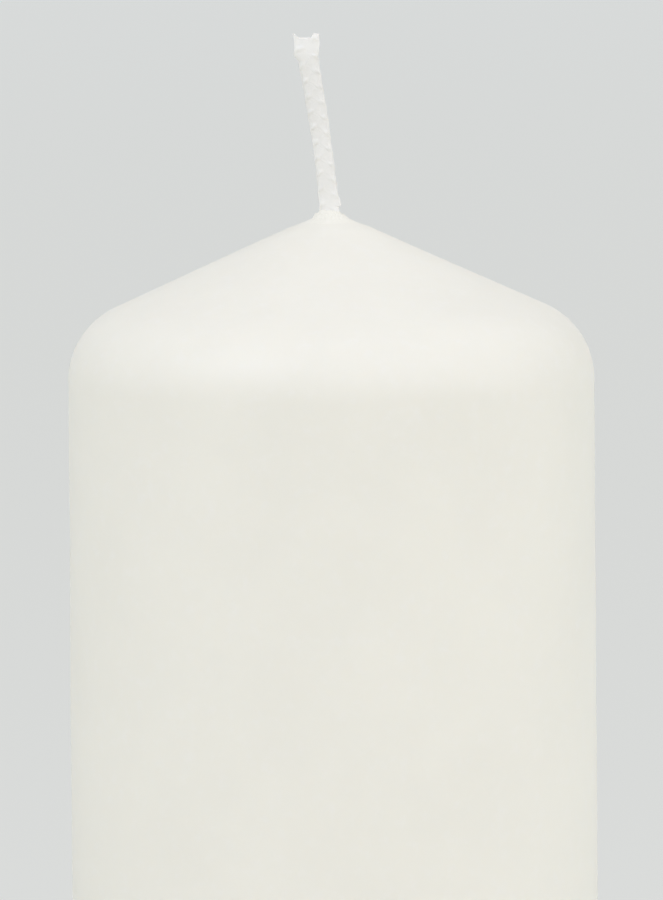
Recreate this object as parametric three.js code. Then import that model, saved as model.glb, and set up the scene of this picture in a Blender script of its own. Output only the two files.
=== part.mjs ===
// A unity candle: a tall ivory pillar of wax with a sloping cone top, a plaited cotton wick that leans
// a little to one side, and the stamped metal sustainer that holds the wick in the candle's foot.
// Millimetres, +Z up. The origin is the middle of the face that the candle stands on.
import * as THREE from "three";

// The pillar
const PILLAR_RADIUS = 38;
const APEX_HEIGHT = 229; // where the sides of the cone top would meet
const TOP_SLOPE = THREE.MathUtils.degToRad(24.5);
const SHOULDER_RADIUS = 12; // rounds the cone into the upright side
const FOOT_EDGE_RADIUS = 1.2;
const COAT_THICKNESS = 1.8; // hard outer wax over the core
const CORE_GAP = 0.05; // between the core and the coat
const BORE_RADIUS = 1.75; // the wick's way through the wax

// The wax that climbs the wick at the tip
const COLLAR_RADIUS = 3.0;
const COLLAR_SHOULDER_RADIUS = 2.5;
const COLLAR_PROUD = 0.35; // above the cone, at the collar's shoulder
const COLLAR_TOP = APEX_HEIGHT - 0.4;

// The wick, a flat plait
const WICK_WIDTH = 2.9;
const WICK_THICKNESS = 2.1;
const WICK_FOOT = 0.6; // the trimmed tail's height above the table
const BEND_HEIGHT = COLLAR_TOP + 1.0; // the wick bends about this point
const BEND_GAP = 0.3; // between the bending end's round root and the wick below it
const EXPOSED_LENGTH = 25.2; // from the bend to the tips of the cut end
const ROOT_LEAN = THREE.MathUtils.degToRad(6.8);
const TIP_LEAN = THREE.MathUtils.degToRad(9.2);
const FLARE_LENGTH = 1.8; // the cut end opens out over this length
const FLARE_WIDTH = 3.7;
const NOTCH_DEPTH = 0.6; // the cut end dips between its two corners

// The foot: a recess, the stamped sustainer in it, and the wax run in round its rim
const RECESS_RADIUS = 11;
const RECESS_DEPTH = 1.2;
const DISC_RADIUS = 10;
const DISC_THICKNESS = 0.3;
const NECK_RADIUS = 2.1;
const NECK_LENGTH = 8;
const SEAL_LAP = 1.5; // the run-in wax covers this much of the disc's rim
const SEAL_LOWEST = 0.4; // it stays this far above the table

const ROUND_SEGMENTS = 64;
const SHOULDER_STEPS = 7;
const FOOT_EDGE_STEPS = 3;

const wax = new THREE.MeshStandardMaterial({ color: 0xebe8dd, roughness: 0.45, metalness: 0 });
const coreWax = new THREE.MeshStandardMaterial({ color: 0xefece2, roughness: 0.6, metalness: 0 });
const cotton = new THREE.MeshStandardMaterial({ color: 0xe7e4da, roughness: 0.8, metalness: 0 });
const tinnedSteel = new THREE.MeshStandardMaterial({ color: 0xb9bbbd, roughness: 0.35, metalness: 0.9 });

/** The height of the cone at a radius, or of the surface that lies a depth below it. */
function coneHeight(radius, depth = 0) {
  return APEX_HEIGHT - depth / Math.cos(TOP_SLOPE) - radius * Math.tan(TOP_SLOPE);
}

/** Points of an arc in the plane of radius and height, from one angle to another, both included. */
function arc(centre, radius, from, to, steps) {
  return Array.from({ length: steps + 1 }, (_, i) => {
    const angle = from + ((to - from) * i) / steps;
    return [centre[0] + radius * Math.cos(angle), centre[1] + radius * Math.sin(angle)];
  });
}

/** The shoulder's arc, a depth below the candle's surface, from the upright side to the cone. */
function shoulder(depth = 0) {
  const centreRadius = PILLAR_RADIUS - SHOULDER_RADIUS;
  const touches = centreRadius + SHOULDER_RADIUS * Math.sin(TOP_SLOPE);
  const centreHeight = coneHeight(touches) - SHOULDER_RADIUS * Math.cos(TOP_SLOPE);
  const end = Math.PI / 2 - TOP_SLOPE;
  return arc([centreRadius, centreHeight], SHOULDER_RADIUS - depth, 0, end, SHOULDER_STEPS);
}

/** A solid turned about Z, from a closed loop of [radius, height] pairs that runs anticlockwise. */
function turned(loop) {
  const profile = [...loop, loop[0]].map(([radius, height]) => new THREE.Vector2(radius, height));
  return new THREE.LatheGeometry(profile, ROUND_SEGMENTS).rotateX(Math.PI / 2);
}

/** The core that the coat covers, with the wick's bore and the recess for the sustainer. */
function coreGeometry() {
  const neckTop = RECESS_DEPTH + NECK_LENGTH;
  const depth = COAT_THICKNESS + CORE_GAP;
  return turned([
    [RECESS_RADIUS, 0],
    [PILLAR_RADIUS - depth, 0],
    ...shoulder(depth),
    [BORE_RADIUS, coneHeight(BORE_RADIUS, depth)],
    [BORE_RADIUS, neckTop],
    [NECK_RADIUS, neckTop],
    [NECK_RADIUS, RECESS_DEPTH],
    [RECESS_RADIUS, RECESS_DEPTH],
  ]);
}

/** The coat of harder wax: the candle's visible side, shoulder and cone. */
function coatGeometry() {
  const edgeCentre = [PILLAR_RADIUS - FOOT_EDGE_RADIUS, FOOT_EDGE_RADIUS];
  return turned([
    [PILLAR_RADIUS - COAT_THICKNESS, 0],
    ...arc(edgeCentre, FOOT_EDGE_RADIUS, -Math.PI / 2, 0, FOOT_EDGE_STEPS),
    ...shoulder(),
    [COLLAR_RADIUS, coneHeight(COLLAR_RADIUS)],
    [COLLAR_RADIUS, coneHeight(COLLAR_RADIUS, COAT_THICKNESS)],
    ...shoulder(COAT_THICKNESS).reverse(),
  ]);
}

/** The plug of wax round the wick at the tip, standing a little proud of the cone. */
function collarGeometry() {
  return turned([
    [BORE_RADIUS, coneHeight(BORE_RADIUS, COAT_THICKNESS)],
    [COLLAR_RADIUS, coneHeight(COLLAR_RADIUS, COAT_THICKNESS)],
    [COLLAR_RADIUS, coneHeight(COLLAR_RADIUS)],
    [COLLAR_SHOULDER_RADIUS, coneHeight(COLLAR_SHOULDER_RADIUS) + COLLAR_PROUD],
    [BORE_RADIUS, COLLAR_TOP],
  ]);
}

/** The stamped disc, with the neck that is crimped on the wick. */
function sustainerGeometry() {
  const underside = RECESS_DEPTH - DISC_THICKNESS;
  const neckTop = RECESS_DEPTH + NECK_LENGTH;
  return turned([
    [BORE_RADIUS, underside],
    [DISC_RADIUS, underside],
    [DISC_RADIUS, RECESS_DEPTH],
    [NECK_RADIUS, RECESS_DEPTH],
    [NECK_RADIUS, neckTop],
    [BORE_RADIUS, neckTop],
  ]);
}

/** The ring of wax that fills the gap round the disc and laps over its rim. */
function sealGeometry() {
  const underside = RECESS_DEPTH - DISC_THICKNESS;
  return turned([
    [DISC_RADIUS - SEAL_LAP, underside],
    [DISC_RADIUS, (underside + SEAL_LOWEST) / 2],
    [RECESS_RADIUS, SEAL_LOWEST],
    [RECESS_RADIUS, RECESS_DEPTH],
    [DISC_RADIUS, RECESS_DEPTH],
    [DISC_RADIUS, underside],
  ]);
}

/** The straight length of wick in the wax: a flat oval, upright, from the foot to below the bend. */
function innerWickGeometry() {
  const endRadius = WICK_THICKNESS / 2;
  const endCentre = (WICK_WIDTH - WICK_THICKNESS) / 2;
  const section = new THREE.Shape();
  section.absarc(endCentre, 0, endRadius, -Math.PI / 2, Math.PI / 2);
  section.absarc(-endCentre, 0, endRadius, Math.PI / 2, 1.5 * Math.PI);
  const top = BEND_HEIGHT - WICK_WIDTH / 2 - BEND_GAP;
  const options = { depth: top - WICK_FOOT, bevelEnabled: false, curveSegments: 6 };
  return new THREE.ExtrudeGeometry(section, options).translate(0, 0, WICK_FOOT);
}

/** A point beside the leaning wick: how far along it from the bend, and how far to its +X side. */
function besideWick(along, aside) {
  const bendRadius = EXPOSED_LENGTH / (TIP_LEAN - ROOT_LEAN);
  const lean = ROOT_LEAN + along / bendRadius;
  const x = bendRadius * (Math.cos(lean) - Math.cos(ROOT_LEAN));
  const z = bendRadius * (Math.sin(lean) - Math.sin(ROOT_LEAN));
  return new THREE.Vector2(x + aside * Math.cos(lean), z + aside * Math.sin(lean));
}

/** The end of the wick that stands out of the wax, about its bend: a leaning flat bar, round at its
 *  root so that it can turn, and flared at its cut end, which dips between its corners. */
function wickEndGeometry() {
  const half = WICK_WIDTH / 2;
  const flareStart = EXPOSED_LENGTH - FLARE_LENGTH;
  const side = [0, flareStart / 2, flareStart];
  const across = [1, 0.5, 0, -0.5, -1];
  const outline = [
    ...side.map((along) => besideWick(along, half)),
    ...across.map((t) =>
      besideWick(EXPOSED_LENGTH - NOTCH_DEPTH * (1 - t * t), (t * FLARE_WIDTH) / 2),
    ),
    ...side.reverse().map((along) => besideWick(along, -half)),
  ];
  const root = arc([0, 0], half, Math.PI + ROOT_LEAN, 2 * Math.PI + ROOT_LEAN, 10).slice(1, -1);
  const front = new THREE.Shape([...outline, ...root.map(([x, z]) => new THREE.Vector2(x, z))]);
  const rounding = 0.45;
  const options = {
    depth: WICK_THICKNESS - 2 * rounding,
    bevelThickness: rounding,
    bevelSize: rounding,
    bevelOffset: -rounding,
    bevelSegments: 2,
  };
  return new THREE.ExtrudeGeometry(front, options)
    .translate(0, 0, rounding - WICK_THICKNESS / 2)
    .rotateX(Math.PI / 2);
}

/** A named sub-part. */
function part(name, geometry, material) {
  const mesh = new THREE.Mesh(geometry, material);
  mesh.name = name;
  return mesh;
}

const pillar = new THREE.Group();
pillar.add(part("wax_core", coreGeometry(), coreWax));
pillar.add(part("outer_coat", coatGeometry(), wax));
pillar.add(part("tip_collar", collarGeometry(), wax));

const foot = new THREE.Group();
foot.add(part("wick_sustainer", sustainerGeometry(), tinnedSteel));
foot.add(part("foot_seal", sealGeometry(), wax));

const wick = new THREE.Group();
wick.add(part("wick_in_wax", innerWickGeometry(), cotton));
const wickEnd = part("wick_end", wickEndGeometry(), cotton);
wickEnd.position.z = BEND_HEIGHT;
wick.add(wickEnd);

const candle = new THREE.Group();
candle.add(pillar, foot, wick);

export default candle;
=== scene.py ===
"""A unity candle's looks: an ivory wax pillar with a cone top, its plaited wick and its metal foot.

Every piece is built round the candle's working frame, in metres, +Z up, with the candle's foot at
the origin. The file is laid out as an add-on: sizes and colours are properties, each piece has an
operator that makes it, and one panel lists them.
"""

import math

import bpy
import numpy as np
from bpy.props import FloatProperty, FloatVectorProperty, IntProperty, PointerProperty
from bpy.types import Operator, Panel, PropertyGroup
from mathutils import Matrix, Vector


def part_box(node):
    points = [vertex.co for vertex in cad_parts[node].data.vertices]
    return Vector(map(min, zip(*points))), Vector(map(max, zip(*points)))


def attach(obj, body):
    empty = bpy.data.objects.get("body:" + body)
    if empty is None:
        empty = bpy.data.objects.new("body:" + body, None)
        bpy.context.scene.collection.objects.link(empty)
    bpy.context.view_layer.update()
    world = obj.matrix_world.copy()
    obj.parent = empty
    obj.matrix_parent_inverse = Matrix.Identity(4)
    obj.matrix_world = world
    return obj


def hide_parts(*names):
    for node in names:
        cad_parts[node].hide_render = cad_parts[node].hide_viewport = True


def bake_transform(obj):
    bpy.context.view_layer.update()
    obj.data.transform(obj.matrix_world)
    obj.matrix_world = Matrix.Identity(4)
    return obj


bl_info = {
    "name": "Unity Candle",
    "version": (1, 0, 0),
    "blender": (4, 5, 0),
    "location": "View3D > Sidebar > Candle",
    "description": "Makes an ivory pillar candle with a plaited wick",
    "category": "Add Mesh",
}

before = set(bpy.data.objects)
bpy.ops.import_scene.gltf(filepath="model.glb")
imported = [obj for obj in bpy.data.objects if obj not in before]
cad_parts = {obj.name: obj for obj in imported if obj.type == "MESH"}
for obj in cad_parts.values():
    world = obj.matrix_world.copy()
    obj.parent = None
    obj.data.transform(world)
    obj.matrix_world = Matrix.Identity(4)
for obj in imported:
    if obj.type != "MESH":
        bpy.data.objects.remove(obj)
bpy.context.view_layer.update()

MM = 0.001

# What the frame says about the candle: corners of its solids' boxes.
COAT_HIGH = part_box("outer_coat")[1]
CORE_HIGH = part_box("wax_core")[1]
COLLAR_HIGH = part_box("tip_collar")[1]
SEAL_LOW, SEAL_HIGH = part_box("foot_seal")
DISC_LOW, DISC_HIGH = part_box("wick_sustainer")
TAIL_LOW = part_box("wick_in_wax")[0]

# What the boxes don't say.
CORE_GAP = 0.05 * MM  # between the core and the coat
BORE_RADIUS = 1.75 * MM  # the wick's way through the core and the collar
NECK_HOLE_RADIUS = 2.1 * MM  # the core's hole round the sustainer's neck
WICK_LENGTH = 25.36 * MM  # from the collar's top to the middle of the cut end
WAX_IOR = 1.44


# ---------------------------------------------------------------- sizes and colours


class CandleSizes(PropertyGroup):
    """The lengths and angles that give the candle's surfaces their shape."""

    top_slope: FloatProperty(
        name="Top slope",
        description="How steeply the cone top falls from the wick",
        default=math.radians(24.5),
        subtype="ANGLE",
    )
    shoulder_radius: FloatProperty(
        name="Shoulder radius",
        description="Rounding between the cone top and the upright side",
        default=11.2 * MM,
        subtype="DISTANCE",
        unit="LENGTH",
    )
    foot_edge_radius: FloatProperty(
        name="Foot edge radius",
        description="Rounding of the edge that the candle stands on",
        default=1.2 * MM,
        subtype="DISTANCE",
        unit="LENGTH",
    )
    dip_wave: FloatProperty(
        name="Dip wave",
        description="Height of the long, faint waves that dipping leaves in the coat",
        default=0.07 * MM,
        subtype="DISTANCE",
        unit="LENGTH",
    )
    plait_repeat: FloatProperty(
        name="Plait repeat",
        description="Length of wick in which one strand crosses over and back",
        default=6.75 * MM,
        subtype="DISTANCE",
        unit="LENGTH",
    )
    root_lean: FloatProperty(
        name="Root lean",
        description="The wick's lean from upright where it leaves the wax",
        default=math.radians(4.3),
        subtype="ANGLE",
    )
    upper_lean: FloatProperty(
        name="Upper lean",
        description="The wick's lean from upright below its cut end",
        default=math.radians(9.3),
        subtype="ANGLE",
    )
    fibres: IntProperty(
        name="Fibres",
        description="How many loose fibres stand out of the wick",
        default=16,
    )


class CandleColours(PropertyGroup):
    """The base colour of each finish."""

    coat: FloatVectorProperty(
        name="Coat wax",
        description="Colour of the outer wax",
        default=(0.865, 0.850, 0.765),
        subtype="COLOR",
        size=3,
        min=0,
        max=1,
    )
    core: FloatVectorProperty(
        name="Core wax",
        description="Colour of the softer wax inside",
        default=(0.87, 0.85, 0.78),
        subtype="COLOR",
        size=3,
        min=0,
        max=1,
    )
    cotton: FloatVectorProperty(
        name="Wick cotton",
        description="Colour of the waxed cotton",
        default=(0.80, 0.79, 0.745),
        subtype="COLOR",
        size=3,
        min=0,
        max=1,
    )
    tin: FloatVectorProperty(
        name="Tinned steel",
        description="Colour of the stamped sustainer",
        default=(0.70, 0.70, 0.70),
        subtype="COLOR",
        size=3,
        min=0,
        max=1,
    )
    floor_near: FloatVectorProperty(
        name="Floor",
        description="Colour of the studio floor round the candle",
        default=(0.803, 0.820, 0.798),
        subtype="COLOR",
        size=3,
        min=0,
        max=1,
    )
    # Painted light: the far floor is painted paler, standing in for the lamp light that falls off
    # farther from the candle.
    floor_far: FloatVectorProperty(
        name="Far floor",
        description="Colour of the studio floor and sweep farther off, where less light falls",
        default=(0.876, 0.907, 0.914),
        subtype="COLOR",
        size=3,
        min=0,
        max=1,
    )


# ---------------------------------------------------------------- meshes


def put_mesh(name, points, quads, triangles=()):
    """An object from whole arrays of points, four-sided and three-sided faces, smooth shaded."""
    quads = np.asarray(quads, np.int32).reshape(-1, 4)
    triangles = np.asarray(triangles, np.int32).reshape(-1, 3)
    corners = np.concatenate([quads.ravel(), triangles.ravel()])
    sizes = np.concatenate([np.full(len(quads), 4), np.full(len(triangles), 3)])
    starts = np.concatenate([[0], np.cumsum(sizes)[:-1]])
    mesh = bpy.data.meshes.new(name)
    mesh.vertices.add(len(points))
    mesh.vertices.foreach_set("co", np.asarray(points, np.float32).ravel())
    mesh.loops.add(len(corners))
    mesh.loops.foreach_set("vertex_index", corners.astype(np.int32))
    mesh.polygons.add(len(sizes))
    mesh.polygons.foreach_set("loop_start", starts.astype(np.int32))
    mesh.polygons.foreach_set("use_smooth", np.ones(len(sizes), bool))
    mesh.update(calc_edges=True)
    mesh.validate()
    made = bpy.data.objects.new(name, mesh)
    bpy.context.scene.collection.objects.link(made)
    return made


def wrapped_faces(rows, columns):
    """Quads of a grid that closes on itself both ways, as a ring's skin does."""
    i, j = np.meshgrid(np.arange(rows), np.arange(columns), indexing="ij")
    up, on = (i + 1) % rows, (j + 1) % columns
    corners = (i, j), (i, on), (up, on), (up, j)
    return np.stack([a * columns + b for a, b in corners], -1).reshape(-1, 4)


def tube_faces(rows, columns):
    """Quads and end triangles of a stack of rings that one point before and one after close."""
    i, j = np.meshgrid(np.arange(rows - 1), np.arange(columns), indexing="ij")
    on = (j + 1) % columns
    corners = (i, j), (i, on), (i + 1, on), (i + 1, j)
    quads = np.stack([a * columns + b for a, b in corners], -1).reshape(-1, 4)
    ring = np.arange(columns)
    after = (ring + 1) % columns
    first, last = rows * columns, rows * columns + 1
    foot = np.stack([np.full(columns, first), after, ring], -1)
    top = (rows - 1) * columns
    head = np.stack([np.full(columns, last), top + ring, top + after], -1)
    return quads, np.concatenate([foot, head])


def ring_solid(name, radius, height, angle, *second):
    """A ring's skin, from its section carried round Z: radius and height are arrays of one row for
    each point of the closed section and one column for each angle, so that
    x = radius cos(angle), y = radius sin(angle), z = height. The section runs anticlockwise. A
    second ring's radius and height can follow, for a piece with two rings."""
    grid = np.stack([radius * np.cos(angle), radius * np.sin(angle), height], -1)
    points, faces = grid.reshape(-1, 3), wrapped_faces(*radius.shape)
    if second:
        grid = np.stack([second[0] * np.cos(angle), second[0] * np.sin(angle), second[1]], -1)
        more = wrapped_faces(*second[0].shape) + len(points)
        points = np.concatenate([points, grid.reshape(-1, 3)])
        faces = np.concatenate([faces, more])
    return put_mesh(name, points, faces)


def around(columns):
    """Evenly spaced angles for one whole turn."""
    return np.linspace(0, 2 * np.pi, columns, endpoint=False)


def ease(t):
    """A smooth step from 0 to 1 as t goes from 0 to 1: three t squared less two t cubed."""
    t = np.clip(t, 0, 1)
    return t * t * (3 - 2 * t)


def oval(angle, across, deep):
    """The radius of an ellipse at an angle, from its half axes along X and Y."""
    return 1 / np.sqrt((np.cos(angle) / across) ** 2 + (np.sin(angle) / deep) ** 2)


def waves(seed, count, turns, angle, along, longest, shortest):
    """Smooth noise that closes round the turn: a sum of cosines of whole turns of the angle plus a
    wave along the height, with seeded phases, scaled to about -1 to 1."""
    rng = np.random.default_rng(seed)
    total = np.zeros(np.broadcast(angle, along).shape)
    for _ in range(count):
        turn = rng.integers(0, turns + 1)
        pitch = rng.uniform(1 / longest, 1 / shortest) * rng.choice([-1, 1])
        phase = rng.uniform(0, 2 * np.pi)
        total = total + np.cos(turn * angle + 2 * np.pi * pitch * along + phase)
    return total / math.sqrt(count / 2) / 1.6


def spaced(points, counts):
    """A polyline through section corners: counts[k] even steps from corner k to corner k + 1."""
    runs = [
        np.linspace(a, b, n, endpoint=False) for a, b, n in zip(points[:-1], points[1:], counts)
    ]
    return np.concatenate(runs)


# ---------------------------------------------------------------- finishes


def node(tree, kind, inputs=None, **settings):
    """A shader node with its settings, its input values, and links where a value is a socket."""
    made = tree.nodes.new(kind)
    for key, value in settings.items():
        setattr(made, key, value)
    for key, value in (inputs or {}).items():
        if isinstance(value, bpy.types.NodeSocket):
            tree.links.new(value, made.inputs[key])
        else:
            made.inputs[key].default_value = value
    return made


def new_finish(name, **principled):
    """A material with one Principled shader: its tree, the shader, and object coordinates."""
    material = bpy.data.materials.new(name)
    material.use_nodes = True
    tree = material.node_tree
    tree.nodes.clear()
    shader = node(tree, "ShaderNodeBsdfPrincipled", principled, subsurface_method="BURLEY")
    output = node(tree, "ShaderNodeOutputMaterial")
    tree.links.new(shader.outputs["BSDF"], output.inputs["Surface"])
    coordinates = node(tree, "ShaderNodeTexCoord").outputs["Object"]
    return material, tree, shader, coordinates


def noise(tree, where, size, detail=2.0, roughness=0.5):
    """Noise whose features are about this size, in metres: its value socket."""
    inputs = {"Vector": where, "Scale": 1 / size, "Detail": detail, "Roughness": roughness}
    return node(tree, "ShaderNodeTexNoise", inputs).outputs["Fac"]


def remap(tree, value, low, high, to_low, to_high):
    """A value scaled from one range to another, held at the ends."""
    inputs = {
        "Value": value,
        "From Min": low,
        "From Max": high,
        "To Min": to_low,
        "To Max": to_high,
    }
    return node(tree, "ShaderNodeMapRange", inputs).outputs["Result"]


def mixed(tree, factor, first, second):
    """One colour fading to another."""
    made = node(tree, "ShaderNodeMix", data_type="RGBA")
    pairs = zip(("Factor_Float", "A_Color", "B_Color"), (factor, first, second))
    by_identifier = {socket.identifier: socket for socket in made.inputs}
    for identifier, value in pairs:
        socket = by_identifier[identifier]
        if isinstance(value, bpy.types.NodeSocket):
            tree.links.new(value, socket)
        else:
            socket.default_value = value
    return next(s for s in made.outputs if s.identifier == "Result_Color")


def bumps(tree, layers):
    """Bump nodes in a chain, one for each (height socket, distance in metres, strength)."""
    normal = None
    for height, distance, strength in layers:
        inputs = {"Height": height, "Distance": distance, "Strength": strength}
        if normal is not None:
            inputs["Normal"] = normal
        normal = node(tree, "ShaderNodeBump", inputs).outputs["Normal"]
    return normal


def shade(colour, amount):
    """A colour made lighter or darker by a share, with its alpha."""
    return (*(min(1.0, c * (1 + amount)) for c in colour), 1.0)


def wax_finish(name, colour, roughness, grain, depth):
    """Cast or dipped wax: cloudy patches, a fine crystalline bloom, sparse pinholes with painted
    shade in them, faint orange peel. grain scales the relief and the bloom; depth is how far light
    spreads in it, which it does less towards the wick, where the pieces are thin."""
    material, tree, shader, where = new_finish(
        name,
        **{
            "Subsurface Radius": (1.0, 0.8, 0.55),
            "Subsurface Scale": depth,
            "IOR": WAX_IOR,
        },
    )
    flat = node(
        tree, "ShaderNodeVectorMath", {0: where, 1: (1.0, 1.0, 0.0)}, operation="MULTIPLY"
    ).outputs["Vector"]
    off_wick = node(tree, "ShaderNodeVectorMath", {0: flat}, operation="LENGTH").outputs["Value"]
    spread = remap(tree, off_wick, 4 * MM, 14 * MM, 0.0, 0.6)
    tree.links.new(spread, shader.inputs["Subsurface Weight"])
    cloud = noise(tree, where, 24 * MM, 3, 0.55)
    bloom = noise(tree, where, 2.2 * MM, 4, 0.65)
    crystals = node(
        tree, "ShaderNodeTexVoronoi", {"Vector": where, "Scale": 1 / (1.3 * MM), "Randomness": 1.0}
    ).outputs["Distance"]
    pits = node(tree, "ShaderNodeTexVoronoi", {"Vector": where, "Scale": 1 / (7 * MM)})
    pit = remap(tree, pits.outputs["Distance"], 0.012, 0.026, 1.0, 0.0)

    clouded = mixed(
        tree,
        remap(tree, cloud, 0.35, 0.65, 0.0, 1.0),
        shade(colour, -0.012 * grain),
        shade(colour, 0.012 * grain),
    )
    bloomed = mixed(
        tree,
        remap(tree, bloom, 0.52, 0.78, 0.0, 0.35 * grain),
        clouded,
        (*[0.5 * c + 0.46 for c in colour], 1.0),
    )
    # Painted shade: the pinholes are painted a little darker, as the shade inside them.
    pit_shaded = mixed(tree, pit, bloomed, shade(colour, -0.03))
    tree.links.new(pit_shaded, shader.inputs["Base Color"])

    low, high = roughness
    rough = remap(tree, noise(tree, where, 9 * MM, 3), 0.3, 0.7, low, high)
    tree.links.new(rough, shader.inputs["Roughness"])
    peel = noise(tree, where, 5 * MM, 2, 0.5)
    fine = noise(tree, where, 0.5 * MM, 3, 0.6)
    layers = [
        (peel, 0.06 * MM * grain, 0.5),
        (crystals, 0.010 * MM * grain, 0.5),
        (fine, 0.012 * MM * grain, 0.6),
        (remap(tree, pit, 0, 1, 1, 0), 0.05 * MM, 0.4),
    ]
    tree.links.new(bumps(tree, layers), shader.inputs["Normal"])
    return material


def cotton_finish(name, colour):
    """Waxed cotton: fibres run along each strand, and the wick's own wax attribute pales the cotton
    and smooths it where wax has soaked in and stands on it."""
    material, tree, shader, where = new_finish(
        name,
        **{
            "Subsurface Weight": 0.4,
            "Subsurface Radius": (1.0, 0.85, 0.65),
            "Subsurface Scale": 0.12 * MM,
            "IOR": WAX_IOR,
            "Sheen Weight": 0.12,
            "Sheen Roughness": 0.5,
        },
    )
    wax = node(tree, "ShaderNodeAttribute", attribute_name="wax").outputs["Fac"]
    strand = node(tree, "ShaderNodeUVMap", uv_map="strand").outputs["UV"]
    along = node(
        tree, "ShaderNodeMapping", {"Vector": strand, "Scale": (34.0, 1.6, 1.0)}
    ).outputs["Vector"]
    fibre = node(
        tree, "ShaderNodeTexNoise", {"Vector": along, "Scale": 1.0, "Detail": 3.0}
    ).outputs["Fac"]
    patch = noise(tree, where, 2.5 * MM, 3)
    thread = remap(tree, fibre, 0.3, 0.7, 0, 1)
    dry = mixed(tree, thread, shade(colour, -0.06), shade(colour, 0.03))
    paler = (0.895, 0.89, 0.85, 1.0)
    soaked = mixed(tree, wax, dry, paler)
    spotted = mixed(tree, remap(tree, patch, 0.45, 0.8, 0, 0.25), soaked, paler)
    tree.links.new(spotted, shader.inputs["Base Color"])
    tree.links.new(remap(tree, wax, 0, 1, 0.68, 0.45), shader.inputs["Roughness"])
    depth = node(
        tree, "ShaderNodeMath", {0: fibre, 1: remap(tree, wax, 0, 1, 1, 0.15)}, operation="MULTIPLY"
    ).outputs["Value"]
    layers = [(depth, 0.05 * MM, 0.7), (noise(tree, where, 0.7 * MM, 3), 0.02 * MM, 0.5)]
    tree.links.new(bumps(tree, layers), shader.inputs["Normal"])
    return material


def tin_finish(name, colour):
    """Tinned steel sheet: a satin skin with drawn streaks, dull patches and small dents."""
    material, tree, shader, where = new_finish(name, Metallic=1.0, IOR=2.0)
    streak_at = node(
        tree, "ShaderNodeMapping", {"Vector": where, "Scale": (90.0, 2600.0, 400.0)}
    ).outputs["Vector"]
    streak = node(
        tree, "ShaderNodeTexNoise", {"Vector": streak_at, "Scale": 1.0, "Detail": 4.0}
    ).outputs["Fac"]
    patch = noise(tree, where, 3 * MM, 4, 0.6)
    dulled = remap(tree, patch, 0.3, 0.7, 0, 1)
    tinted = mixed(tree, dulled, shade(colour, -0.28), shade(colour, 0.1))
    tree.links.new(tinted, shader.inputs["Base Color"])
    rough = node(
        tree,
        "ShaderNodeMath",
        {0: remap(tree, patch, 0.3, 0.7, 0.24, 0.42), 1: remap(tree, streak, 0.3, 0.7, 0, 0.12)},
        operation="ADD",
    ).outputs["Value"]
    tree.links.new(rough, shader.inputs["Roughness"])
    layers = [(streak, 0.008 * MM, 0.6), (noise(tree, where, 1.6 * MM, 2), 0.05 * MM, 0.5)]
    tree.links.new(bumps(tree, layers), shader.inputs["Normal"])
    return material


def finish_piece(piece, material, body, slot, *nodes):
    """Gives a piece its material and its body, and hides the frame's nodes that it stands for; slot
    is not used.
    """
    piece.data.materials.append(material)
    if body:
        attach(piece, body)
    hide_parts(*nodes)


# ---------------------------------------------------------------- the pillar's surface


def cone_height(sizes, radius, depth=0.0):
    """The cone top's height at a radius, or of the surface a depth below it: it falls from the
    height at the coat's hole by the tangent of the slope for each step outwards."""
    hole = COLLAR_HIGH.x
    apex = COAT_HIGH.z + hole * math.tan(sizes.top_slope)
    return apex - depth / math.cos(sizes.top_slope) - radius * math.tan(sizes.top_slope)


def tip_dip(radius):
    """How far the real cone lies below a straight one near the wick: a whole dip that fades
    outwards to nothing by a smooth step."""
    deepest, fades_from, fades_over = 0.22 * MM, 2.9 * MM, 3.4 * MM
    return deepest * (1 - ease((radius - fades_from) / fades_over))


def shoulder_arc(sizes, depth, steps):
    """Radius and height along the shoulder: an arc about a centre that lies the shoulder's radius
    inside both the side and the cone, from the upright side to the cone's slope."""
    slope, rounding = sizes.top_slope, sizes.shoulder_radius
    centre_radius = COAT_HIGH.x - rounding
    touches = centre_radius + rounding * math.sin(slope)
    centre_height = cone_height(sizes, touches) - rounding * math.cos(slope)
    angle = np.linspace(0, math.pi / 2 - slope, steps)
    reach = rounding - depth
    return np.stack(
        [centre_radius + reach * np.cos(angle), centre_height + reach * np.sin(angle)], -1
    )


def coat_section(sizes):
    """The coat's closed section, anticlockwise from the foot's inner edge, and for each point how
    much of the dipping waves shows there: the whole of the outside, none of the inside."""
    outer, inner, hole = COAT_HIGH.x, CORE_HIGH.x + CORE_GAP, COLLAR_HIGH.x
    depth = outer - inner
    edge = sizes.foot_edge_radius
    turn = np.linspace(-math.pi / 2, 0, 9)
    foot = np.stack([outer - edge + edge * np.cos(turn), edge + edge * np.sin(turn)], -1)
    shoulder = shoulder_arc(sizes, 0, 40)
    under = shoulder_arc(sizes, depth, 12)[::-1]
    tip = np.array([hole, cone_height(sizes, hole)])
    near_tip = np.array([hole + 4 * MM, cone_height(sizes, hole + 4 * MM)])
    tip_under = np.array([hole, cone_height(sizes, hole, depth)])
    face = np.array([inner, 0.0])
    runs = [
        (spaced([face, foot[0]], [3]), 0),
        (foot[:-1], 0.3),
        (spaced([foot[-1], shoulder[0]], [132]), 1),
        (shoulder[:-1], 1),
        (spaced([shoulder[-1], near_tip, tip], [40, 12]), 1),
        (spaced([tip, tip_under], [4]), 0),
        (spaced([tip_under, under[0]], [8]), 0),
        (under[:-1], 0),
        (spaced([under[-1], face], [12]), 0),
    ]
    points = np.concatenate([run for run, _ in runs])
    shown = np.concatenate([np.full(len(run), weight) for run, weight in runs])
    return points, shown


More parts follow.
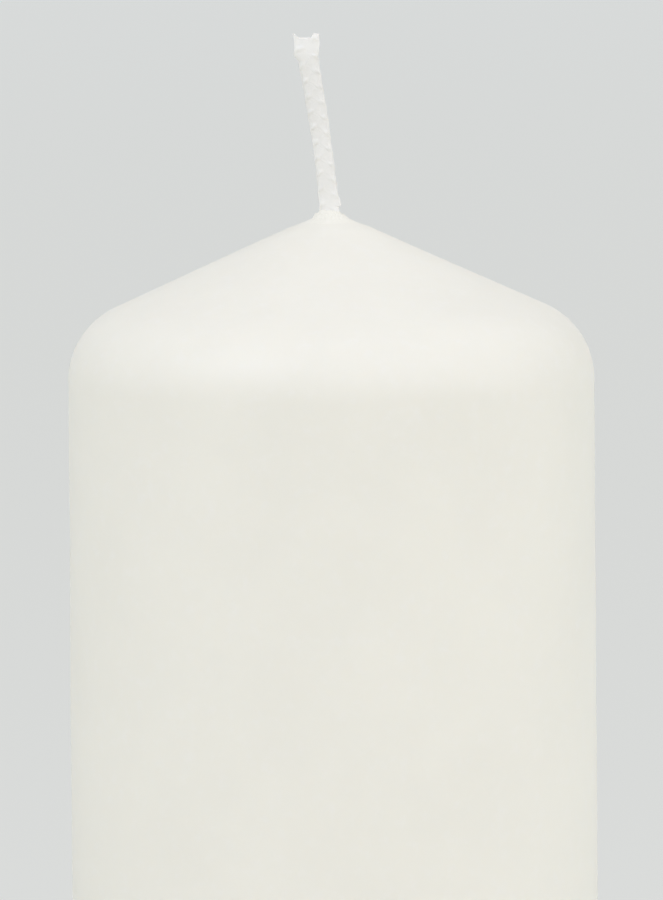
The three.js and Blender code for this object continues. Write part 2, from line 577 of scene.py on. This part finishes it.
def make_coat(sizes, colours):
    """The coat of hard wax: its section turned round Z. Outside, each point moves along the
    section's own normal by long dipping waves, shallower ripples, and a slight unevenness in the
    shoulder, all fading to nothing at the foot and at the wick's hole, and by a low, uneven ridge
    just above the foot. Near the hole the outside dips, and the hole's wall with it, by the share
    of the coat's thickness below each point."""
    section, shown = coat_section(sizes)
    angle = around(288)
    step = np.roll(section, -1, 0) - np.roll(section, 1, 0)
    normal = np.stack([step[:, 1], -step[:, 0]], -1)
    normal /= np.linalg.norm(normal, axis=1)[:, None]
    radius, height = section[:, :1], section[:, 1:]
    fade = ease((radius - 4 * MM) / (9 * MM)) * ease(height / (6 * MM)) * shown[:, None]
    long = waves(11, 9, 3, angle, height, 220 * MM, 60 * MM)
    short = waves(12, 12, 9, angle, height, 60 * MM, 18 * MM)
    shoulder_height = shoulder_arc(sizes, 0, 3)[1, 1]
    near = np.exp(-(((height - shoulder_height) / (9 * MM)) ** 2))
    uneven = waves(13, 5, 4, angle, height, 900 * MM, 400 * MM) * near
    push = fade * (sizes.dip_wave * (long + 0.35 * short) + 0.07 * MM * uneven)
    ridge = 0.10 * MM * np.exp(-((height - 2.4 * MM) / (1.3 * MM)) ** 2) * (shown[:, None] > 0)
    push = push + ridge * (1 + 0.5 * waves(14, 6, 9, angle, height, 1, 0.5))
    depth = COAT_HIGH.x - CORE_HIGH.x
    share = (height - cone_height(sizes, radius, depth)) * math.cos(sizes.top_slope) / depth
    top = height + push * normal[:, 1:] - tip_dip(radius) * np.clip(share, 0, 1)
    coat = ring_solid("coat", radius + push * normal[:, :1], top, angle)
    finish = wax_finish("coat wax", colours.coat, (0.40, 0.52), 1.0, 2.2 * MM)
    finish_piece(coat, finish, "candle", "coat_wax", "outer_coat")
    return coat


def make_core(sizes, colours):
    """The core: its section turned round Z. The flat foot carries the shallow rings and smears that
    levelling on a hot plate leaves, sunk into the wax so that the foot still stands flat."""
    outer, bore = CORE_HIGH.x, BORE_RADIUS
    recess, ceiling = SEAL_HIGH.x, SEAL_HIGH.z
    neck, neck_top = NECK_HOLE_RADIUS, DISC_HIGH.z
    depth = COAT_HIGH.x - outer
    shoulder = shoulder_arc(sizes, depth, 14)
    tip = np.array([bore, cone_height(sizes, bore, depth)])
    corners = [(bore, neck_top), (neck, neck_top), (neck, ceiling), (recess, ceiling), (recess, 0)]
    section = np.concatenate(
        [
            spaced([np.array([recess, 0.0]), np.array([outer, 0.0])], [84]),
            spaced([np.array([outer, 0.0]), shoulder[0]], [24]),
            shoulder[:-1],
            spaced([shoulder[-1], tip], [12]),
            spaced([tip, np.array(corners[0])], [20]),
            spaced([np.array(c) for c in corners], [2, 6, 8, 4]),
        ]
    )
    angle = around(288)
    radius, height = section[:, :1], section[:, 1:]
    margin = 1.2 * MM
    on_foot = (height < 1e-9) * ease((radius - recess) / margin)
    on_foot = on_foot * ease((outer - radius) / margin)
    rings = 0.5 + 0.5 * np.cos(2 * np.pi * radius / (2.3 * MM) + 1.5 * np.sin(angle + 0.6))
    smear = 0.5 + 0.5 * waves(21, 14, 7, angle, radius, 20 * MM, 4 * MM)
    sunk = on_foot * (0.05 * MM * rings + 0.12 * MM * np.clip(smear, 0, 1))
    core = ring_solid("core", radius + 0 * angle, height + sunk, angle)
    finish = wax_finish("core wax", colours.core, (0.50, 0.64), 1.6, 1.5 * MM)
    finish_piece(core, finish, "candle", "core_wax", "wax_core")
    return core


# ---------------------------------------------------------------- the wick


def wick_half_width(along):
    """Half the wick's width at a distance above the collar, from measured stations."""
    stations = np.array([-300, 0, 2.2, 4, 7, 10, 13, 18, 22]) * MM
    halves = np.array([1.40, 1.43, 1.46, 1.40, 1.39, 1.34, 1.44, 1.44, 1.50]) * MM
    return np.interp(along, stations, halves)


def wick_line(sizes, along):
    """The wick's centre line: upright in the wax, then a direction that leans towards -X by the
    root lean and a little more with height, and stands up again at the cut end. The line is the
    running sum of its direction. Returns x, z and the lean for each distance above the collar."""
    lean = sizes.root_lean * ease((along + 1.2 * MM) / (2.4 * MM))
    lean = lean + (sizes.upper_lean - sizes.root_lean) * np.clip(along / (16 * MM), 0, 1)
    lean = lean * (1 - ease((along - 22.4 * MM) / (0.9 * MM)))
    step = np.diff(along, prepend=along[0])
    x = -np.cumsum(np.sin(lean) * step)
    z = COLLAR_HIGH.z + along[0] + np.cumsum(np.cos(lean) * step)
    return x, z, lean


def wax_on_wick(along):
    """How much wax stands on the wick, 0 to 1: thick at the collar, thin up the middle, thick
    again at the cut end."""
    root = 1 - ease((along - 0.2 * MM) / (4 * MM))
    lower = 1 - ease((along - 8 * MM) / (6 * MM))
    tip = ease((along - 22 * MM) / (2.4 * MM))
    return np.clip(0.38 + 0.16 * lower + 0.40 * root + 0.62 * tip, 0, 1)


def plait_radius(sizes, angle, along):
    """The plait's outline in polar form about its centre line. Three strands swing from side to
    side as a sine and in and out as a sine of twice the angle, a third of a repeat apart; each has
    an oval section. The radius is a soft maximum of where the ray meets each oval, and of a wax
    filling between them; yarns raise fine ridges on each strand. Returns the radius, and how many
    turns round its strand each point lies, with the strand's number added."""
    yarns, yarn_twist, yarn_height = 7, 5.2 * MM, 0.022 * MM
    wax = wax_on_wick(along)[:, None]
    stretch = (wick_half_width(along) / (1.45 * MM))[:, None]
    half_width, half_depth = 0.62 * MM * stretch, 0.50 * MM
    swing, rise = 0.83 * MM * stretch, 0.46 * MM
    dx, dy = np.cos(angle)[None, :], np.sin(angle)[None, :]
    power = 30 - 17 * wax
    total, ridge, turn = 0, 0, 0
    for strand in range(3):
        phase = (2 * np.pi * (along / sizes.plait_repeat + strand / 3))[:, None]
        cx, cy = swing * np.sin(phase), rise * np.sin(2 * phase)
        a = (dx / half_width) ** 2 + (dy / half_depth) ** 2
        b = dx * cx / half_width**2 + dy * cy / half_depth**2
        c = (cx / half_width) ** 2 + (cy / half_depth) ** 2 - 1
        inside = b * b - a * c
        missed = np.exp(np.minimum(inside / (0.25 * a), 0))
        reach = np.maximum((b + np.sqrt(np.maximum(inside, 0))) / a * missed, 0.2 * MM)
        weight = (reach / MM) ** power
        round_strand = np.arctan2(
            (reach * dy - cy) / half_depth, (reach * dx - cx) / half_width
        )
        twist = 2 * np.pi * along[:, None] / yarn_twist + strand
        total = total + weight
        ridge = ridge + weight * np.cos(yarns * round_strand + twist)
        turn = turn + weight * (round_strand / (2 * np.pi) + 0.5 + strand)
    filling = oval(angle, 1.42 * MM * stretch, 0.96 * MM)
    fill_weight = (filling / MM) ** power
    radius = (total + fill_weight) ** (1 / power) * MM
    radius = radius + yarn_height * (1 - 0.8 * wax) * ridge / total
    return radius, turn / total


def cut_height(across):
    """How far the cut end stands above its middle, across the wick from -1 to 1: flat in the
    middle with a narrow corner up on the left and a broader one on the right."""
    left = ease((-across - 0.52) / 0.42)
    right = ease((across - 0.36) / 0.2)
    return 0.60 * MM * np.maximum(left, right)


def make_wick_grid(sizes):
    """The whole wick as rings of points: coarse rings in the wax, fine rings in the open, then
    rings that shrink to the middle of the cut end, where cut yarn ends stand as small domes.
    Returns the rings, the two points that close them, each ring's distance above the collar, and
    each point's place round its strand."""
    bottom = TAIL_LOW.z - COLLAR_HIGH.z
    length = WICK_LENGTH
    along = np.concatenate(
        [
            np.arange(bottom, -6 * MM, 4 * MM),
            np.arange(-6 * MM, -1 * MM, 0.3 * MM),
            np.arange(-1 * MM, length, 0.056 * MM),
            [length],
        ]
    )
    angle = around(164)
    radius, strand = plait_radius(sizes, angle, along)
    x, z, lean = wick_line(sizes, along)
    aside, depth = radius * np.cos(angle), radius * np.sin(angle)
    # The flare of wax on the wick's right at its root: a tooth with a sharp lower edge.
    height = along[:, None]
    tooth = ease((2.5 * MM - height) / (1.6 * MM)) * ease((height - 0.62 * MM) / (0.2 * MM))
    near = np.exp(-((((angle + np.pi) % (2 * np.pi) - np.pi + 0.15) / 0.34) ** 2))
    aside = aside + 0.36 * MM * tooth * near
    # The pressed end: wider, the more so to the left, from a step below the cut.
    pressed = ease((height - (length - 3.2 * MM)) / (0.9 * MM))
    opened = ease((height - (length - 2.4 * MM)) / (2.4 * MM))
    left = ease(0.5 - 0.8 * np.cos(angle))
    widen = pressed * (0.11 + 0.17 * left) + opened * 0.06
    aside = aside * (1 + widen)
    # The last stretch follows the cut: each column ends at the cut's own height.
    share = ease((height - (length - 2.0 * MM)) / (2.0 * MM))
    middle = 0.5 * (aside[-1].max() + aside[-1].min())
    reach = 0.5 * (aside[-1].max() - aside[-1].min())
    lift = share * cut_height((aside - middle) / reach)
    up = z[:, None] + lift
    across_x = aside * np.cos(lean)[:, None] + x[:, None]
    across_z = up + aside * np.sin(lean)[:, None]
    side = np.stack([across_x, depth, across_z], -1)
    # The cut end: the last ring shrinks to its middle.
    shrink = np.cos(np.linspace(0, math.pi / 2, 22)[1:-1])[:, None]
    cap_aside = middle + (aside[-1] - middle) * shrink
    cap_depth = depth[-1] * shrink
    domes = np.cos(cap_aside * 2 * np.pi / (0.46 * MM)) * np.cos(
        cap_depth * 2 * np.pi / (0.42 * MM)
    )
    inward = ease((1 - shrink) / 0.25)
    cap_z = z[-1] + cut_height((cap_aside - middle) / reach)
    cap_z = cap_z + 0.04 * MM * domes * inward
    cap = np.stack([cap_aside + x[-1], cap_depth, cap_z], -1)
    grid = np.concatenate([side, cap])
    cap_along = np.full(len(cap), length)
    along = np.concatenate([along, cap_along])
    strand = np.concatenate([strand, np.repeat(strand[-1:], len(cap), 0)])
    ends = np.array([[0, 0, TAIL_LOW.z], [x[-1] + middle, 0, z[-1] + 0.03 * MM]])
    return grid, ends, along, strand


def fibre_tubes(sizes, count):
    """Loose fibres: thin tapered tubes that leave the wick's side and curl away. Each centre line
    is a start point, an outward direction and a bend that grows with the square of the distance;
    five-sided rings shrink along it to a point. Returns points, quads and triangles."""
    rng = np.random.default_rng(5)
    rows, columns = 7, 5
    at = np.sort(rng.uniform(1.5, 24.2, count)) * MM
    along = np.linspace(0, 25 * MM, 400)
    x, z, _ = wick_line(sizes, along)
    start_z = np.interp(at, along, z)
    start_x = np.interp(at, along, x)
    angle = rng.uniform(0, 2 * np.pi, count)
    reach = np.stack([np.cos(angle) * wick_half_width(at) * 0.9, np.sin(angle) * 0.85 * MM], -1)
    length = rng.uniform(0.35, 0.95, count) * MM
    out = np.stack([np.cos(angle), np.sin(angle), rng.uniform(0.2, 1.4, count)], -1)
    out /= np.linalg.norm(out, axis=1)[:, None]
    curl = rng.normal(0, 0.35, (count, 3)) + np.array([0, 0, 0.3])
    t = np.linspace(0, 1, rows)
    start = np.stack([start_x + reach[:, 0], reach[:, 1], start_z], -1)
    line = (
        start[:, None]
        + out[:, None] * (t[:, None] * length[:, None, None])
        + curl[:, None] * (t[:, None] ** 2 * length[:, None, None])
    )
    side = np.cross(out, [0.3, 0.4, 1.0])
    side /= np.linalg.norm(side, axis=1)[:, None]
    other = np.cross(out, side)
    ring = around(columns)
    thick = 0.022 * MM * (1 - 0.75 * t)
    rings = line[:, :, None] + thick[:, None, None] * (
        side[:, None, None] * np.cos(ring)[:, None] + other[:, None, None] * np.sin(ring)[:, None]
    )
    quads, triangles = tube_faces(rows, columns)
    ends = np.stack([line[:, 0] - 0.02 * MM * out, line[:, -1]], 1)
    points = np.concatenate([rings.reshape(count, -1, 3), ends], 1)
    each = points.shape[1]
    offset = (np.arange(count) * each)[:, None, None]
    quads = (quads + offset).reshape(-1, 4)
    triangles = (triangles + offset).reshape(-1, 3)
    return points.reshape(-1, 3), quads, triangles


def make_wick(sizes, colours):
    """The wick, from the sustainer to its cut end, with its loose fibres."""
    grid, ends, along, strand = make_wick_grid(sizes)
    rows, columns = grid.shape[:2]
    quads, triangles = tube_faces(rows, columns)
    points = np.concatenate([grid.reshape(-1, 3), ends])
    loose, loose_quads, loose_triangles = fibre_tubes(sizes, sizes.fibres)
    base = len(points)
    wick = put_mesh(
        "wick",
        np.concatenate([points, loose]),
        np.concatenate([quads, loose_quads + base]),
        np.concatenate([triangles, loose_triangles + base]),
    )
    columns_along = np.repeat(along, columns)
    wax = np.concatenate(
        [wax_on_wick(columns_along), wax_on_wick(along[[0, -1]]), np.full(len(loose), 0.1)]
    )
    wick.data.attributes.new("wax", "FLOAT", "POINT").data.foreach_set(
        "value", wax.astype(np.float32)
    )
    u = np.concatenate([strand.ravel(), [0, 0], np.zeros(len(loose))])
    v = np.concatenate([columns_along / MM, along[[0, -1]] / MM, loose[:, 2] / MM])
    corner = np.empty(len(wick.data.loops), np.int32)
    wick.data.loops.foreach_get("vertex_index", corner)
    uv = wick.data.uv_layers.new(name="strand")
    uv.data.foreach_set("uv", np.stack([u, v], -1)[corner].astype(np.float32).ravel())
    finish = cotton_finish("waxed cotton", colours.cotton)
    finish_piece(wick, finish, None, "wick_cotton", "wick_in_wax", "wick_end")
    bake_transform(wick)
    return wick


# ---------------------------------------------------------------- the collar at the tip


def make_collar(sizes, colours):
    """The collar of wax round the wick: a ring whose top is a ragged mound, higher and steeper on
    the left. Its height over the cone is a step down at an uneven edge, a rise where it climbs the
    wick, and small lumps; a film runs on past the coat's hole and feathers out."""
    angle = around(240)
    hole = COLLAR_HIGH.x
    depth = COAT_HIGH.x - CORE_HIGH.x
    ragged = waves(31, 16, 17, angle, np.zeros(1), 1, 0.5)
    lumpy = waves(32, 14, 29, angle, np.zeros(1), 1, 0.5)
    inner = oval(angle, 1.10 * MM, 0.66 * MM)
    wick = oval(angle, 1.40 * MM, 0.98 * MM)
    outer = hole + 0.75 * MM + 0.22 * MM * ragged
    across = np.concatenate([np.linspace(0, 0.6, 40), np.linspace(0.6, 1, 26)[1:]])[:, None]
    radius = outer - (outer - inner) * across
    base = cone_height(sizes, radius) - tip_dip(radius)
    left = 0.5 - 0.5 * np.cos(angle)
    edge = (2.42 - 0.16 * left) * MM + 0.20 * MM * ragged + 0.08 * MM * lumpy
    mound = ease((edge - radius) / ((0.70 - 0.34 * left + 0.16 * lumpy) * MM) + 0.5)
    lumps = waves(33, 22, 15, angle, radius, 2.4 * MM, 0.8 * MM)
    grains = waves(34, 26, 40, angle, radius, 0.9 * MM, 0.35 * MM)
    proud = (0.20 + 0.20 * left) * MM + 0.08 * MM * lumps + 0.010 * MM * grains
    climb = ease(1 - (radius - wick) / (0.5 * MM)) ** 2 * (0.24 + 0.06 * lumpy) * MM
    film = 0.05 * MM * ease((outer - radius) / (0.7 * MM)) + 0.012 * MM * lumps * (1 - mound)
    sunk = 0.03 * MM * (1 - ease((outer - radius) / (0.12 * MM)))
    top = base + film + mound * proud + climb - sunk
    below = np.array([cone_height(sizes, BORE_RADIUS, depth), cone_height(sizes, hole, depth)])
    lip = cone_height(sizes, hole) - 0.5 * MM
    wall = np.full_like(angle, hole - 0.02 * MM)
    collar = ring_solid(
        "collar",
        np.concatenate([[inner, wall, wall], radius]),
        np.concatenate([np.array([[below[0]], [below[1]], [lip]]) + 0 * angle, top]),
        angle,
    )
    finish = wax_finish("collar wax", shade(colours.coat, 0.01)[:3], (0.42, 0.56), 1.2, 0.8 * MM)
    finish_piece(collar, finish, "candle", "coat_wax", "tip_collar")
    return collar


# ---------------------------------------------------------------- the foot


def make_sustainer(colours):
    """The stamped sustainer: a thin section turned round Z. The sheet follows a mid line that runs
    in from the rim, is pressed up in one stiffening ring, rounds up into the neck, and is crimped
    towards the wick at two levels; the skin is the mid line moved half a thickness to each side."""
    rim, sheet = DISC_HIGH.x, 0.3 * MM
    disc_height, neck_top = DISC_LOW.z + 0.5 * sheet, DISC_HIGH.z
    neck, bend = 1.95 * MM, 0.45 * MM
    flat = np.linspace(rim - 0.1 * MM, neck + bend, 60)
    ring = 0.30 * MM * np.exp(-(((flat - 6.0 * MM) / (0.55 * MM)) ** 2))
    turn = np.linspace(0, math.pi / 2, 9)[1:]
    corner = np.stack(
        [neck + bend - bend * np.sin(turn), disc_height + bend - bend * np.cos(turn)], -1
    )
    rise = np.linspace(disc_height + bend, neck_top - 0.08 * MM, 50)[1:]
    middle = np.concatenate(
        [
            np.stack([flat, np.full_like(flat, disc_height)], -1),
            corner,
            np.stack([np.full_like(rise, neck), rise], -1),
        ]
    )
    step = np.gradient(middle, axis=0)
    normal = np.stack([step[:, 1], -step[:, 0]], -1) / np.linalg.norm(step, axis=1)[:, None]
    half = np.full(len(middle), 0.5 * sheet)
    half[len(flat) + len(corner) :] *= 0.55
    half[0] = half[-1] = 0.6 * half[-1]
    upper = middle + normal * half[:, None]
    lower = middle - normal * half[:, None]
    section = np.concatenate([upper, lower[::-1]])
    pressed = np.pad(ring, (0, len(middle) - len(ring)))
    pressed = np.concatenate([pressed, pressed[::-1]])
    angle = around(144)
    radius, height = section[:, :1], section[:, 1:] + pressed[:, None]
    crimp_levels, crimp_spread, crimp_depth = (4.2 * MM, 6.6 * MM), 0.5 * MM, 0.16 * MM
    crimp = sum(np.exp(-(((height - level) / crimp_spread) ** 2)) for level in crimp_levels)
    radius = radius - crimp_depth * crimp * np.cos(angle) ** 8
    sustainer = ring_solid("sustainer", radius, height + 0 * angle, angle)
    finish = tin_finish("tinned steel", colours.tin)
    finish_piece(sustainer, finish, "candle", "tinned_steel", "wick_sustainer")
    return sustainer


def make_seal(colours):
    """The wax run in round the sustainer's rim: a ring whose underside sags from the disc to the
    recess's wall, with an uneven inner edge. A second ring is the plug of wax that fills the neck
    round the wick's tail."""
    angle = around(240)
    rim, wall = DISC_HIGH.x, SEAL_HIGH.x
    under, ceiling, lowest = DISC_LOW.z, SEAL_HIGH.z, SEAL_LOW.z
    ragged = waves(41, 10, 5, angle, np.zeros(1), 1, 0.5)
    ripple = waves(42, 14, 17, angle, np.zeros(1), 1, 0.5)
    inner = wall - 2.3 * MM + 0.22 * MM * ragged + 0.05 * MM * ripple
    across = np.linspace(0, 1, 40)[:, None]
    radius = inner + (wall - inner) * across
    sag = ease(across * 1.25) ** 0.8
    lower = under - (under - lowest) * sag * (0.93 + 0.06 * ripple) + 0 * angle
    roof = np.array([[wall], [rim], [rim]]) + 0 * angle
    roof_height = np.array([[ceiling], [ceiling], [under]]) + 0 * angle
    ring = np.concatenate([radius, roof]), np.concatenate([lower, roof_height])
    # The plug reaches from inside the wick's tail to the neck, and is dished between them.
    tail, neck, plug_top = oval(angle, 1.15 * MM, 0.75 * MM), 1.86 * MM, 3 * MM
    share = np.linspace(0, 1, 16)[:, None]
    plug_radius = tail + (neck - tail) * share
    dish = 1.45 * MM + 0.25 * MM * np.sin(share * math.pi) + 0.04 * MM * ripple
    plug = (
        np.concatenate([plug_radius, plug_radius[::-1]]),
        np.concatenate([dish, np.full_like(dish, plug_top)]),
    )
    seal = ring_solid("foot_wax", *ring, angle, *plug)
    finish = wax_finish("run-in wax", shade(colours.coat, -0.02)[:3], (0.3, 0.42), 1.0, 0.8 * MM)
    finish_piece(seal, finish, "candle", "coat_wax", "foot_seal")
    return seal


# ---------------------------------------------------------------- the stage


def make_stage(colours):
    """The floor and sweep: a disc that turns up in a quarter circle to a wall all round, as one
    surface turned round Z."""
    flat, bend, top = 5.0, 3.0, 9.0  # metres
    run = np.linspace(0.02, flat, 24)
    turn = np.linspace(0, math.pi / 2, 20)[1:]
    radius = np.concatenate([run, flat + bend * np.sin(turn), [flat + bend]])
    height = np.concatenate([0 * run, bend - bend * np.cos(turn), [top]])
    angle = around(96)
    radius, height = radius[:, None], height[:, None] + 0 * angle
    grid = np.stack([radius * np.cos(angle), radius * np.sin(angle), height], -1)
    rows, columns = len(radius), len(angle)
    i, j = np.meshgrid(np.arange(rows - 1), np.arange(columns), indexing="ij")
    on = (j + 1) % columns
    corners = (i, j), (i + 1, j), (i + 1, on), (i, on)
    quads = np.stack([a * columns + b for a, b in corners], -1).reshape(-1, 4)
    ring = np.arange(columns)
    middle = np.stack([np.full(columns, rows * columns), ring, (ring + 1) % columns], -1)
    points = np.concatenate([grid.reshape(-1, 3), [[0, 0, 0]]])
    floor = put_mesh("floor", points, quads, middle)
    material = bpy.data.materials.new("studio floor")
    material.use_nodes = True
    tree = material.node_tree
    tree.nodes.clear()
    where = node(tree, "ShaderNodeTexCoord").outputs["Object"]
    off = node(tree, "ShaderNodeVectorMath", {0: where}, operation="LENGTH").outputs["Value"]
    # Painted light: the floor's colour grows paler with distance from the candle, making up for the
    # lamp light that falls off there.
    near, far = 0.9, 3.8
    fade = remap(tree, off, near, far, 0.0, 1.0)
    painted = mixed(tree, fade, (*colours.floor_near, 1.0), (*colours.floor_far, 1.0))
    paint = node(tree, "ShaderNodeBsdfDiffuse", {"Color": painted})
    clear = node(tree, "ShaderNodeBsdfTransparent")
    below = node(tree, "ShaderNodeNewGeometry").outputs["Backfacing"]
    blend = node(
        tree, "ShaderNodeMixShader", {0: below, 1: paint.outputs["BSDF"], 2: clear.outputs["BSDF"]}
    )
    node(tree, "ShaderNodeOutputMaterial", {"Surface": blend.outputs["Shader"]})
    floor.data.materials.append(material)
    for ray in ("diffuse", "glossy", "transmission", "volume_scatter", "shadow"):
        setattr(floor, "visible_" + ray, False)
    return floor


def soft_light(name, place, aim, size, power, colour):
    """A soft rectangular lamp, out of the camera's sight, that points at a place."""
    lamp = bpy.data.lights.new(name, "AREA")
    lamp.shape = "RECTANGLE"
    lamp.size, lamp.size_y = size
    lamp.energy, lamp.color = power, colour
    made = bpy.data.objects.new(name, lamp)
    bpy.context.scene.collection.objects.link(made)
    made.location = place
    made.rotation_euler = (Vector(aim) - Vector(place)).to_track_quat("-Z", "Y").to_euler()
    made.visible_camera = False
    return made


def make_world(left, right, front, back, below, above):
    """Even light from all round, a little brighter from some sides: each axis adds the square of
    the direction's share along it times the light of the side that it points to."""
    world = bpy.data.worlds.new("studio light")
    world.use_nodes = True
    tree = world.node_tree
    tree.nodes.clear()
    direction = node(tree, "ShaderNodeTexCoord").outputs["Generated"]
    split = node(tree, "ShaderNodeSeparateXYZ", {"Vector": direction})
    total = None
    for axis, sides in zip("XYZ", ((left, right), (front, back), (below, above))):
        share = split.outputs[axis]
        positive = node(tree, "ShaderNodeMath", {0: share, 1: 0.0}, operation="GREATER_THAN")
        side = mixed(tree, positive.outputs["Value"], (*sides[0], 1), (*sides[1], 1))
        square = node(tree, "ShaderNodeMath", {0: share, 1: share}, operation="MULTIPLY")
        part = node(
            tree,
            "ShaderNodeVectorMath",
            {0: side, "Scale": square.outputs["Value"]},
            operation="SCALE",
        ).outputs["Vector"]
        if total is not None:
            part = node(
                tree, "ShaderNodeVectorMath", {0: total, 1: part}, operation="ADD"
            ).outputs["Vector"]
        total = part
    light = node(tree, "ShaderNodeBackground", {"Color": total, "Strength": 1.0})
    node(tree, "ShaderNodeOutputWorld", {"Surface": light.outputs["Background"]})
    bpy.context.scene.world = world


def make_camera():
    """A long lens that looks at the candle's upper part from a few degrees above, rolled a
    little."""
    camera = bpy.data.cameras.new("camera")
    camera.sensor_width = 36.0
    distance, rise, roll = 1.8, math.radians(6), math.radians(0.48)
    covered = 130.03 * MM
    camera.lens = camera.sensor_width * distance / covered
    camera.clip_end = 100.0
    made = bpy.data.objects.new("camera", camera)
    bpy.context.scene.collection.objects.link(made)
    aim = Vector((-0.00002, 0, 194.05 * MM))
    back = Vector((0, -math.cos(rise), math.sin(rise)))
    turn = (-back).to_track_quat("-Z", "Y").to_matrix() @ Matrix.Rotation(-roll, 3, "Z")
    made.location = aim + back * distance
    made.rotation_euler = turn.to_euler()
    bpy.context.scene.camera = made


# ---------------------------------------------------------------- operators


class CANDLE_OT_stage(Operator):
    """Make the floor, the lights and the camera"""

    bl_idname = "candle.stage"
    bl_label = "Stage"

    def execute(self, context):
        make_stage(context.scene.candle_colours)
        make_world(
            left=(0.724, 0.742, 0.752),
            right=(0.766, 0.80, 0.80),
            front=(0.812, 0.797, 0.777),
            back=(0.66, 0.68, 0.685),
            below=(0.81, 0.812, 0.73),
            above=(0.800, 0.770, 0.744),
        )
        aim = (0, 0, 0.19)
        soft_light("left box", (-0.95, -1.05, 1.65), aim, (1.1, 0.8), 10.8, (0.76, 0.82, 1.0))
        soft_light("right box", (0.95, -1.05, 1.65), aim, (1.1, 0.8), 3.8, (0.72, 0.76, 1.0))
        soft_light("side fill", (2.2, -0.2, 0.6), aim, (1.2, 1.2), 6.4, (0.94, 0.89, 1.0))
        make_camera()
        context.scene.view_settings.view_transform = "Standard"
        return {"FINISHED"}


class CANDLE_OT_coat(Operator):
    """Make the coat of hard wax"""

    bl_idname = "candle.coat"
    bl_label = "Coat"

    def execute(self, context):
        make_coat(context.scene.candle_sizes, context.scene.candle_colours)
        return {"FINISHED"}


class CANDLE_OT_core(Operator):
    """Make the core of softer wax"""

    bl_idname = "candle.core"
    bl_label = "Core"

    def execute(self, context):
        make_core(context.scene.candle_sizes, context.scene.candle_colours)
        return {"FINISHED"}


class CANDLE_OT_collar(Operator):
    """Make the ragged collar of wax where the wick comes out"""

    bl_idname = "candle.collar"
    bl_label = "Collar"

    def execute(self, context):
        make_collar(context.scene.candle_sizes, context.scene.candle_colours)
        return {"FINISHED"}


class CANDLE_OT_wick(Operator):
    """Make the plaited wick"""

    bl_idname = "candle.wick"
    bl_label = "Wick"

    def execute(self, context):
        make_wick(context.scene.candle_sizes, context.scene.candle_colours)
        return {"FINISHED"}


class CANDLE_OT_foot(Operator):
    """Make the stamped sustainer and the wax run in round it"""

    bl_idname = "candle.foot"
    bl_label = "Foot"

    def execute(self, context):
        make_sustainer(context.scene.candle_colours)
        make_seal(context.scene.candle_colours)
        return {"FINISHED"}


class CANDLE_PT_panel(Panel):
    """The candle's pieces, sizes and colours"""

    bl_idname = "CANDLE_PT_panel"
    bl_label = "Unity Candle"
    bl_space_type = "VIEW_3D"
    bl_region_type = "UI"
    bl_category = "Candle"

    def draw(self, context):
        for operator in OPERATORS:
            self.layout.operator(operator.bl_idname)
        for group in (context.scene.candle_sizes, context.scene.candle_colours):
            column = self.layout.column()
            for name in group.__annotations__:
                column.prop(group, name)


OPERATORS = (
    CANDLE_OT_stage,
    CANDLE_OT_coat,
    CANDLE_OT_core,
    CANDLE_OT_collar,
    CANDLE_OT_wick,
    CANDLE_OT_foot,
)
CLASSES = (CandleSizes, CandleColours, *OPERATORS, CANDLE_PT_panel)


def register():
    for cls in CLASSES:
        bpy.utils.register_class(cls)
    bpy.types.Scene.candle_sizes = PointerProperty(type=CandleSizes)
    bpy.types.Scene.candle_colours = PointerProperty(type=CandleColours)


def unregister():
    del bpy.types.Scene.candle_colours
    del bpy.types.Scene.candle_sizes
    for cls in reversed(CLASSES):
        bpy.utils.unregister_class(cls)


def main():
    """Makes everything in order."""
    register()
    bpy.ops.candle.stage()
    bpy.ops.candle.coat()
    bpy.ops.candle.core()
    bpy.ops.candle.collar()
    bpy.ops.candle.wick()
    bpy.ops.candle.foot()


if __name__ == "__main__":
    main()
